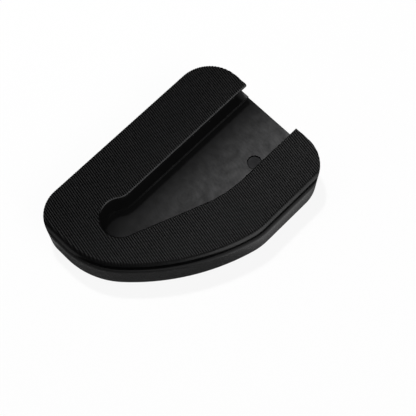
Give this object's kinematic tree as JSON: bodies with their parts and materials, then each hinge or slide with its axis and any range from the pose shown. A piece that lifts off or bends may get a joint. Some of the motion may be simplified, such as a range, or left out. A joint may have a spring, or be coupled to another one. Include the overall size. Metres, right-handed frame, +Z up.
{
  "type": "kickstand foot enlarger",
  "caption": "Thick ribbed aluminium plate with a T-slot open at one end, clamped under a motorbike kickstand's foot to spread its load on soft ground.",
  "frame": {"origin": "middle of the plate's box, on its flat underside", "axes": "+Z up, from the ground towards the stand's foot; +Y towards the slot's open end; +X to the side with the curved flank"},
  "size_m": [0.067, 0.0948, 0.015],
  "materials": {
    "plate": "black anodised, satin, finely ribbed on top",
    "set_screws": "black oxide"
  },
  "bodies": {
    "root": {"plate": "plate", "set_screws": "set_screws"}
  },
  "joints": []
}
